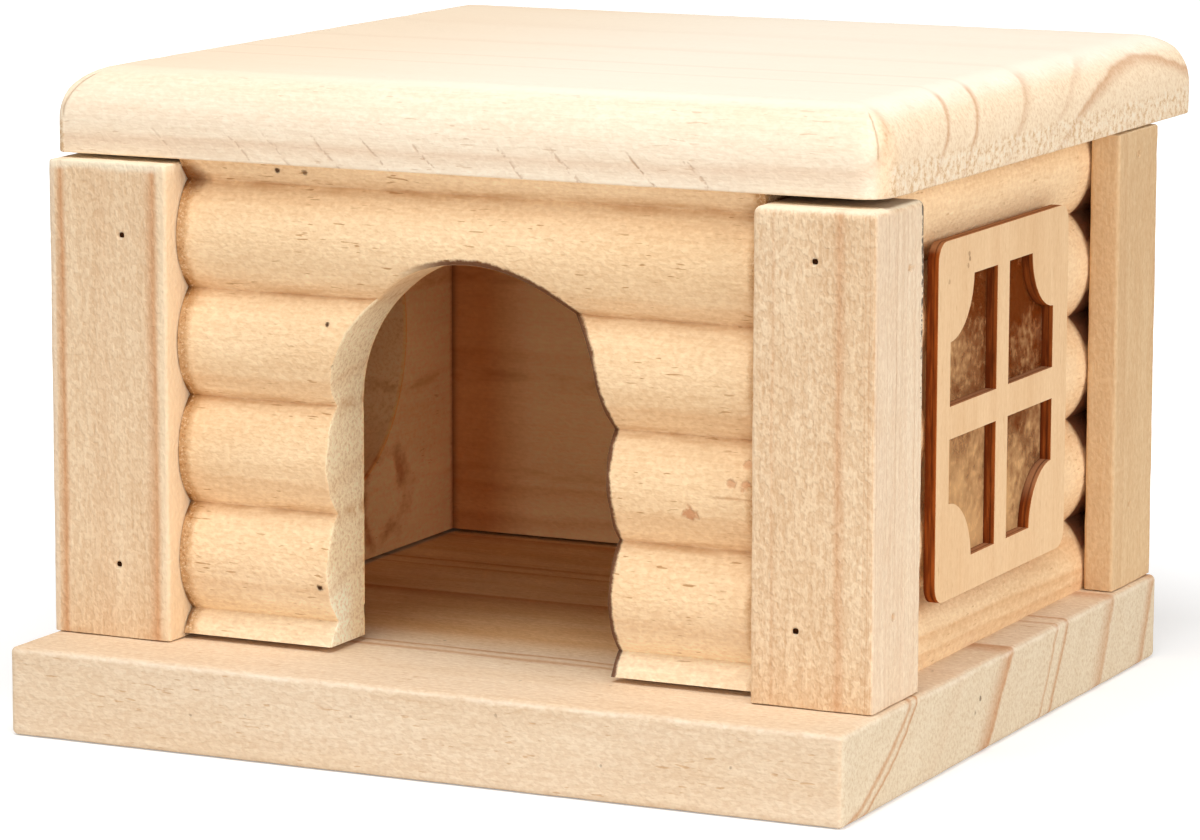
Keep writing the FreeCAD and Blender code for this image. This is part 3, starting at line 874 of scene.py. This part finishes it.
def wall_marks(at, colour, valley, along, from_middle, half, room):
    """Painted shade in the valleys, a band at both ends that is partly scorching and partly painted
    shade, a dark ragged gap, and a warmer painted light inside.

    The gap lies where the distance from the wall's middle comes within some tenths of a millimetre of
    its half length. The painted valley shade and the scorching begin above the grooves low on the
    wall.
    """
    up = at.split()[2]
    to_valley = groove(up, valley)
    above_foot = up.between(17.0, 24.0)
    factors = [0.6] * 3
    factors[along] = 0.12
    cloud = at.stretched(factors).noise(2.0, 0.6)
    # Painted shade: the valleys between the logs are darkened, in broken patches.
    valley_shade = to_valley.between(1.5, 0.0) * cloud.between(0.35, 0.65) * above_foot
    ragged = at.noise(4.0, 0.8, scale=0.9)
    to_end = half - abs(from_middle)
    # Browner towards both ends beside the posts, and more so in the valleys there: partly scorching
    # and partly painted shade.
    scorch_and_shade = (to_end - ragged * 1.8).between(1.3, -0.1)
    burnt = (to_end + cloud * 3.0).between(6.0, 1.0) * to_valley.between(3.5, 0.0) * above_foot
    specks = at.noise(2.0, 0.7, scale=2.4)
    torn = (to_end - ragged * 1.2).between(1.0, 0.2)
    patchy = at.noise(3.0, scale=0.3) + to_valley.between(3.0, 0.3) * 0.3
    gap = (to_end - ragged * 0.9).between(0.2, -0.15) * patchy.between(0.52, 0.76)
    colour = colour.painted((valley_shade * 0.5, 206, 150, 94), (scorch_and_shade * 0.7, 182, 130, 76),
                            (burnt * 0.6, 186, 132, 72),
                            (torn * specks.between(0.56, 0.64) * 0.5, 150, 98, 52),
                            (torn * specks.between(0.44, 0.36) * 0.4, 255, 234, 200),
                            (gap * 0.75, 112, 68, 34))
    # Painted light: the warmer tint of the inner side.
    return colour.tinted(room, INSIDE_LIGHT_TINT)

# %% Marks of each log wall
def front_marks(at, colour, height):
    """The front wall's own marks: painted shade along the door's edge and in the corner by the left
    post, painted light on the lowest logs, stains and pits.
    """
    across, along, up = at.split()
    room, outside = along.between(-40.5, -40.1), along.between(-42.0, -46.0)
    colour = wall_marks(at, colour, FRONT_VALLEY, 0, across - 0.15, 42.05, room)
    beside = across - DOOR_MIDDLE
    above = (up - DOOR_SPRING).math("MAXIMUM", 0.0)
    slip = sum(up.bell(middle, reach) * amount for middle, reach, amount in SLIPS)
    apart = length(beside, above) - DOOR_RADIUS + slip * beside.between(0.0, 1.0)
    ragged = at.noise(4.0, 0.8, scale=0.7)
    # Painted shade: a dark ragged line along the outer edge of the door's right side and top.
    edge = (apart + ragged * 0.9).between(1.4, 0.95) * abs(at.facing()[1]).between(0.2, 0.5)
    edge = edge * beside.between(-12.0, -2.0) * outside
    # Painted shade: a dark patch in the wall's top corner beside the left post, under the roof.
    corner_shade = at.distance((-40.6, -47.8, 74.0)) + at.noise(3.0, 0.7, scale=0.5) * 3.0
    colour = colour.painted((edge * 0.9, 84, 30, 2), (corner_shade.between(4.6, 1.8) * 0.75, 122, 66, 28))
    # Painted light: the outside of the lowest logs is made paler and less orange.
    colour = colour.tinted(up.between(25.0, 17.0) * outside, (1.04, 1.17, 1.34))
    thin = (up + ragged * 0.5).bell(37.85, 0.16) * across.between(34.5, 37.0) * outside
    colour = colour.painted((thin * 0.45, 176, 116, 66))
    colour, height = pitted(at, colour, height, FRONT_STAINS, rgb(208, 142, 98))
    return pitted(at, colour, height, FRONT_PITS)


def side_marks(at, colour, height):
    """The side walls' own marks: painted shade by the rear posts, a dark curved ring and painted
    shade in the back corner inside, and the hole's brown rim.
    """
    across, along, up = at.split()
    aside = abs(across - MIDDLE_ACROSS)
    room = aside.between(44.9, 44.5)
    colour = wall_marks(at, colour, SIDE_VALLEY, 1, along - 4.1, 41.35, room)
    shaded = along.between(34.9, 35.8) * aside.between(54.6, 54.1) * (1.0 - room)
    colour = (shaded * up.between(76.4, 76.2) * 0.85).mix(colour, rgb(132, 70, 42))
    # A dark curved ring on the inner side, and painted shade along the back corner inside.
    apart = at.distance((-44.7, 13.0, 21.5)) + (at.noise(3.0, 0.6, scale=0.25) - 0.5) * 6.0
    dark_ring_and_corner_shade = apart.bell(6.6, 1.5) * at.noise(1.0, scale=0.16).between(0.3, 0.6)
    dark_ring_and_corner_shade = dark_ring_and_corner_shade.math("MAXIMUM", along.bell(34.9, 0.7)) * room
    colour = colour.tinted(dark_ring_and_corner_shade * 0.8, (0.55, 0.28, 0.16))
    from_hole = length(along - HOLE_MIDDLE, up - HOLE_HEIGHT)
    in_hole = from_hole.between(HOLE_RADIUS + 0.4, HOLE_RADIUS + 0.25)
    return colour.tinted(in_hole, (1.02, 0.80, 0.56)), height


def back_marks(at, colour, height):
    """The marks of the back wall, whose inner side has painted shade towards the left corner and a
    dark painted line of shade in the corner itself.
    """
    across, along, _ = at.split()
    room = along.between(35.3, 34.95)
    colour = wall_marks(at, colour, SIDE_VALLEY, 0, across - MIDDLE_ACROSS, 48.0, room)
    # Painted shade: the inner side darkens towards the left corner, and a dark line lies in the
    # corner.
    colour = colour.tinted(across.between(-30.0, -40.0) * room, (0.70, 0.45, 0.30))
    return (across.bell(-44.8, 0.8) * room * 0.6).mix(colour, rgb(96, 44, 20)), height

# %% Log wood
log_front = wood("log_wood_front", 0, (-20.0, -60.0), LOG_TONES, FRONT_LINES, fuzz=0.85, dashes=0.8,
                 speckle=1.5, extra=front_marks)
log_side = wood("log_wood_side", 1, (20.0, -40.0), LOG_TONES, SIDE_LINES, fuzz=0.8, extra=side_marks)
log_back = wood("log_wood_back", 0, (90.0, -20.0), LOG_TONES, SIDE_LINES, fuzz=0.5, dashes=0.1,
                extra=back_marks)

# %% Helpers for a wall with a hole
def around_hole(low, high, near, far, is_open, count):
    """Columns on both sides of a hole with rims near and far in each row, and the wood cells."""
    share = 1 - (1 - np.linspace(0, 1, count)) ** 1.35
    columns = np.concatenate((low + (near - low)[:, None] * share,
                              high + (far - high)[:, None] * share[::-1]), axis=1)
    present = np.ones((len(near) - 1, 2 * count - 1), bool)
    present[is_open, count - 1] = False
    return columns, present


def ease_push(across, up, radius, amount=0.3, reach=2.5):
    """Away from the hole by amount * (1 - distance / reach)^2, as two arrays."""
    apart = np.hypot(across, up)
    strength = amount * np.clip(1 - (apart - radius) / reach, 0, 1) ** 2 / np.maximum(apart, 1e-6)
    return across * strength, up * strength


def wavy(seed):
    """Uneven sawing by up to 0.12 mm, as a shift of a hole's rim."""
    def shift(across, up, deep):
        return 0.12 * (uneven(facing_side(up, 0 * across, deep), 3.5, seed) - 0.5) * 2
    return shift


def log_face(columns, rows, valley, seeds):
    """How far the logs' face lies behind its crests: the sag, and what uneven sanding takes."""
    spots = facing_front(columns, 0.0, rows[:, None])
    worn = 0.12 * uneven(spots, 8.0, seeds[0]) + 0.05 * uneven(spots, 2.0, seeds[1])
    return sag(rows, valley)[:, None] + worn

# %% Front wall
low, high = box_mm("front_wall")
valleys = FRONT_VALLEY + PITCH * np.arange(5)
bend = DOOR_SPRING + DOOR_RADIUS * np.cos(np.radians(np.arange(0, 90, 5)))
rows = ladder(low[2], high[2], 0.7, np.concatenate((valleys, bend, (DOOR_SPRING,))))
rise = np.clip(rows - DOOR_SPRING, 0, DOOR_RADIUS)
half = np.sqrt(np.maximum(DOOR_RADIUS**2 - rise**2, 0)) * (rows < DOOR_SPRING + DOOR_RADIUS)
slips = sum(amount * np.exp(-(((rows - middle) / reach) ** 2)) for middle, reach, amount in SLIPS)
far = DOOR_MIDDLE + half - slips * (half > 0)
columns, present = around_hole(low[0], high[0], DOOR_MIDDLE - half, far, half[:-1] > 0, 44)
push = ease_push(columns - DOOR_MIDDLE, np.maximum(rows - DOOR_SPRING, 0)[:, None], DOOR_RADIUS)
face = low[1] + log_face(columns, rows, FRONT_VALLEY, (41, 42))
front = slab("front_logs", columns, rows, face, high[1], facing_front, present, push, wavy(43))
finish_piece(front, log_front, "front_wall", "house")

# %% Side and back walls
WALL_DROP = 0.5
LIP_START, LIP_BULGE = 33.2, 0.17
valleys = SIDE_VALLEY + PITCH * np.arange(-1, 5)
for side, way in (("left", 1), ("right", -1)):
    low, high = box_mm(side + "_wall")
    crest = outer_inner(low, high, side)[0]
    bend = HOLE_HEIGHT + HOLE_RADIUS * np.cos(np.radians(np.arange(0, 181, 5)))
    rows = ladder(low[2] - WALL_DROP, high[2], 0.8, np.concatenate((valleys, bend)))
    rise = rows - HOLE_HEIGHT
    half = np.sqrt(np.maximum(HOLE_RADIUS**2 - rise**2, 0))
    columns, present = around_hole(low[1], high[1], HOLE_MIDDLE - half, HOLE_MIDDLE + half,
                                   half[:-1] + half[1:] > 0, 36)
    behind = log_face(columns, rows, SIDE_VALLEY, (51 + way, 55 + way))
    behind = behind - LIP_BULGE * np.clip((columns - LIP_START) / 0.8, 0, 1)
    push = ease_push(columns - HOLE_MIDDLE, rise[:, None], HOLE_RADIUS)
    wall = slab(side + "_logs", columns, rows, crest + way * behind, crest + way * THICK,
                facing_side, present, push, wavy(57 + way))
    finish_piece(wall, log_side, side + "_wall", "house")

low, high = box_mm("back_wall")
rows = ladder(low[2] - WALL_DROP, high[2], 0.8, valleys)
columns = ladder(low[0], high[0], 1.2)
face = high[1] - log_face(columns, rows, SIDE_VALLEY, (61, 62))
back = slab("back_logs", columns, rows, face, low[1], facing_front)
finish_piece(back, log_back, "back_wall", "house")

# %% [markdown]
# ## Windows
#
# A square of clear film lies on the logs over the round hole, and a laser-cut plywood frame holds
# it. The frame has four panes, each with its outer corner bitten off by an arc, like drawn
# curtains. The laser has burnt the edges of the plywood, where its plies and glue lines show.
#
# The film is thin, cloudy and only partly clear, so it shows some of the dim room through it. A film
# like that could be made of glass, but a flat colour with some transparency is steadier. That colour
# is partly the film's haze and partly painted shade of the room behind it, and it drifts from a dark
# corner to a pale one.

# %% Plywood
PLY_TONES = (rgb(239, 201, 157), rgb(230, 189, 143), rgb(212, 160, 112), rgb(222, 184, 140))
PLY_PITS = [((56.3, -15.1, 65.6), 0.4, 0.45), ((56.3, -14.9, 64.9), 0.4, 0.55),
            ((56.3, -15.4, 64.1), 0.4, 0.4), ((56.3, -21.9, 62.8), 0.4, 0.3)]
PLY_LINES = [(118.0, 0.1, 3.0, 1.0), (128.0, 0.12, 3.0, 1.0), (140.0, 0.1, 3.0, 1.0)]
PLY_FACE = 56.72


def laser_cut(at, colour, height):
    """Burnt plies on the cut edges: brown outer plies with darker glue lines between them, painted
    lighter where an edge faces up and with a painted highlight along its outer corner.
    """
    facing = at.facing()
    deep = PLY_FACE - abs(at.split()[0] - MIDDLE_ACROSS)
    plies = at.stretched((2.0, 0.15, 0.15)).noise(3.0, 0.6)
    burnt = (plies + deep * 0.2).between(0.4, 0.85).mix(rgb(172, 90, 38), rgb(112, 50, 20))
    glue = deep.bell(0.62, 0.10) + deep.between(1.35, 1.6) * 0.8
    # Painted light: cut edges that face up are paler, and the pale line along the outer corner is a
    # painted highlight.
    burnt = burnt.painted((facing[2].between(0.4, 0.8) * 0.7, 190, 138, 98),
                          (glue * (plies * 0.6 + 0.4), 84, 40, 20),
                          (deep.between(0.16, 0.04) * 0.5, 214, 150, 90))
    colour = abs(facing[0]).between(0.75, 0.55).mix(colour, burnt)
    return pitted(at, colour, height, PLY_PITS, rgb(120, 74, 40))


ply_wood = wood("frame_plywood", 2, (0.0, -120.0), PLY_TONES, PLY_LINES, fuzz=0.35, dashes=0.3,
                drift=0.5, speckle=0.4, extra=laser_cut)

# %% Clear film
clear_film, film_shader, at = new_material("film_clear")
across, along, up = at.split()
cloudy, bubbles = at.noise(3.0, 0.6, scale=0.12), at.noise(2.0, 0.6, scale=0.8)
# The film's colour is partly its own cloudy haze and partly painted shade of the dim room behind it,
# darker towards the top and the back.
paler = (up - 44.0) * -0.013 + (along + 2.0) * -0.0075 + cloudy * 0.7 + bubbles * 0.5
colour = paler.between(0.35, 0.85).mix(rgb(124, 54, 14), rgb(228, 178, 123))
# The inner face of the left film is opaque and painted a mottled brown as shade, for only daylight
# lies behind it, not the dim room.
left_inner = across.between(0.0, -10.0) * at.facing()[0].between(0.2, 0.8)
inner_painted_shade = bubbles.between(0.3, 0.7).mix(rgb(150, 76, 36), rgb(206, 130, 74))
alpha = cloudy.between(0.4, 0.65) * 0.25 + bubbles.between(0.5, 0.7) * 0.15 + 0.5
plug(film_shader, {"Base Color": left_inner.mix(colour, inner_painted_shade), "Roughness": 0.25,
                   "Alpha": alpha.math("MAXIMUM", left_inner), "Normal": (bubbles * 0.3).bump(0.5)})

# %% The grid of a window frame
FRAME_HALF, FRAME_ROUND = 23.65, 2.6
PANE_MIDDLE, PANE_HEIGHT = -2.6, 44.2
PANE_HALF, BAR_HALF, BITE = 18.7, 2.15, 8.5
BITE_CENTRE = PANE_HALF + 0.4
BITE_START = BITE_CENTRE - (BITE**2 - 0.4**2) ** 0.5


def pane_reach(height):
    """How far a pane reaches from the middle at a height: the arc c - sqrt(r^2 - (h - c)^2)."""
    into = np.clip(height, BITE_START, PANE_HALF) - BITE_CENTRE
    return np.where(height <= BITE_START, PANE_HALF, BITE_CENTRE - np.sqrt(BITE**2 - into**2))


def frame_grid(low, high):
    """The rows, the columns and the wood cells of a rounded square with four bitten panes."""
    arc = BITE_CENTRE - BITE * np.sin(np.radians(np.linspace(3, 87, 15)))
    steps = np.concatenate(((BAR_HALF, PANE_HALF, BITE_START), arc))
    rounding = FRAME_HALF - FRAME_ROUND * (1 - np.sin(np.radians(np.arange(0, 90, 15))))
    rows = ladder(low, high, 1.5, np.concatenate((PANE_HEIGHT + steps, PANE_HEIGHT - steps,
                                                  HOLE_HEIGHT + rounding, HOLE_HEIGHT - rounding)))
    beyond = np.maximum(np.abs(rows - HOLE_HEIGHT) - FRAME_HALF + FRAME_ROUND, 0)
    edge = FRAME_HALF - FRAME_ROUND + np.sqrt(np.maximum(FRAME_ROUND**2 - beyond**2, 0))
    from_bar = np.abs(rows - PANE_HEIGHT)
    reach, bar = pane_reach(from_bar), np.full(len(rows), BAR_HALF)
    stops = (HOLE_MIDDLE - edge, PANE_MIDDLE - reach, PANE_MIDDLE - bar,
             PANE_MIDDLE + bar, PANE_MIDDLE + reach, HOLE_MIDDLE + edge)
    parts, is_pane = [stops[0][:, None]], []
    for place, count in enumerate((8, 8, 3, 8, 8)):
        share = np.linspace(0, 1, count + 1)[1:]
        parts.append(stops[place][:, None] + (stops[place + 1] - stops[place])[:, None] * share)
        is_pane += [place in (1, 3)] * count
    middle = (from_bar[:-1] + from_bar[1:]) / 2
    open_row = (middle > BAR_HALF) & (middle < PANE_HALF)
    return rows, np.concatenate(parts, axis=1), ~(open_row[:, None] & np.array(is_pane))

# %% Window frames and films
for side in ("left", "right"):
    low, high = box_mm(side + "_window_frame")
    rows, columns, present = frame_grid(low[2], high[2])
    window = slab(side + "_frame", columns, rows, *outer_inner(low, high, side), facing_side,
                  present)
    finish_piece(window, ply_wood, side + "_window_frame", "house")

    low, high = box_mm(side + "_window_film")
    film = slab(side + "_film", ladder(low[1], high[1], 1.0), ladder(low[2], high[2], 1.0),
                *outer_inner(low, high, side), facing_side)
    finish_piece(film, clear_film, side + "_window_film", "house")

# %% [markdown]
# ## The roof board
#
# The board lies loose on the walls, so the house can be opened. Its upper edges are rounded over
# with a large radius, and the roundings meet in a mitre at the corners.
#
# The ends show the growth lines of a pith below the board. Its flat top runs along the rings there,
# so it's a pale, nearly even tone. The router has left the rounding smooth, while the band below it
# still has the saw's rough face and, in front, faint slanting chatter marks.

# %% Roof wood
ROOF_LINES = [(66.8, 0.75, 1.6, 0.6), (70.4, 0.3, 1.0, 0.5), (78.9, 0.45, 1.8, 0.5),
              (89.6, 0.8, 0.9, 0.45), (97.1, 0.8, 0.9, 0.45), (105.0, 0.1, 2.0, 0.6),
              (112.3, 0.3, 1.2, 0.5)]
ROUTED_FROM = 80.9
CHATTER = [(place, 1.0, 0.45, 0.25)
           for place in (36.1, 47.2, 52.8, 59.9, 67.3, 74.6, 86.8, 94.5, 105.4, 112.9)]


def roof_marks(at, colour, height):
    """What only the roof board has: painted shade on its front and left, a smooth top with painted
    light and shade, chatter marks, rough ends and mitre creases.

    The chatter marks are lines across + up = constant. A crease lies where the board's two
    roundings meet, at equal distances from the front and from the end.
    """
    across, along, up = at.split()
    # Painted shade: the front edge and the left part of the board are tinted darker and warmer.
    front_and_left_shade = (along.between(-44.0, -47.0) * 0.85).math("MAXIMUM", across.between(-10.0, -55.0))
    colour = colour.tinted(front_and_left_shade, (0.99, 0.93, 0.87))
    # The flat top gets its own even tone, painted darker towards the left as shade and paler towards
    # the right as light.
    smooth_top = across.between(-50.0, 15.0).mix(rgb(253, 231, 204), rgb(255, 242, 223))
    colour = (at.facing()[2].between(0.82, 0.96) * 0.82).mix(colour, smooth_top)

    wander = at.noise(scale=0.3)
    low_band = (up + wander).between(ROUTED_FROM + 0.9, ROUTED_FROM - 0.6)
    broken = at.noise(1.0, scale=1.2).between(0.42, 0.56) * (across.between(-50.0, 20.0) * 0.5 + 0.5)
    chatter = bands(across + up + wander * 1.4, CHATTER) * broken * low_band
    chatter = chatter * along.between(-50.3, -50.7)
    rough = at.noise(4.0, 0.8, scale=0.9)
    sawn = low_band * abs(across).between(58.4, 58.8)
    from_end, from_front = 58.95 - abs(across), along + 50.85
    crease = (from_end - from_front + (wander - 0.5) * 0.8).bell(0.0, 0.16)
    crease = crease * up.between(87.4, 86.6) * up.between(81.0, 82.0) * from_front.between(7.0, 6.0)
    colour = colour.painted((chatter * 0.75, 184, 138, 100), (sawn * 0.5, 250, 225, 192),
                            (sawn * rough.between(0.50, 0.60) * 0.7, 212, 168, 120),
                            (sawn * rough.between(0.50, 0.38) * 0.6, 255, 242, 220),
                            (crease * 0.5, 190, 146, 100))
    return colour, height - chatter * 0.1 - crease * 0.15 + sawn * rough * 0.25


roof_wood = wood("roof_wood", 0, (44.0, 19.0), ROOF_TONES, ROOF_LINES, fuzz=0.45, dashes=0.3,
                 drift=0.5, wander=0.5, extra=roof_marks)

# %% Roof board
LEFT_REACH = 0.9
CORNER_RADII = np.array((1.2, 4.0, 2.0, 1.2))

low, high = box_mm("roof_board")
low[0] -= LEFT_REACH
corners = rectangle(low, high)
profile = edge_profile(low[2], high[2], 0.35, 7.2, 1.2)
roof = stack("roof", corners, profile, CORNER_RADII, side_ticks(corners, 2.0), 0.12, 71)
finish_piece(roof, roof_wood, "roof_board", "roof")

# %% [markdown]
# ## The pins
#
# The pins are plain steel wire cut to length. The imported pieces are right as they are, and only get
# a material.

# %% Pins
pin_steel, steel_shader, at = new_material("pin_steel")
rusty = at.noise(3.0, scale=3.0).between(0.4, 0.7).mix(rgb(44, 24, 10), rgb(66, 34, 14))
plug(steel_shader, {"Base Color": rusty, "Metallic": 0.6, "Roughness": 0.5})
for node in ("pins_front", "pins_left", "pins_right"):
    pins = bpy.data.objects[node]
    if not pins.data.materials:
        pins.data.materials.append(pin_steel)
    for slot in pins.material_slots:
        slot.material = pin_steel
    print(f"{node}: {len(pins.data.polygons)} faces as packed")
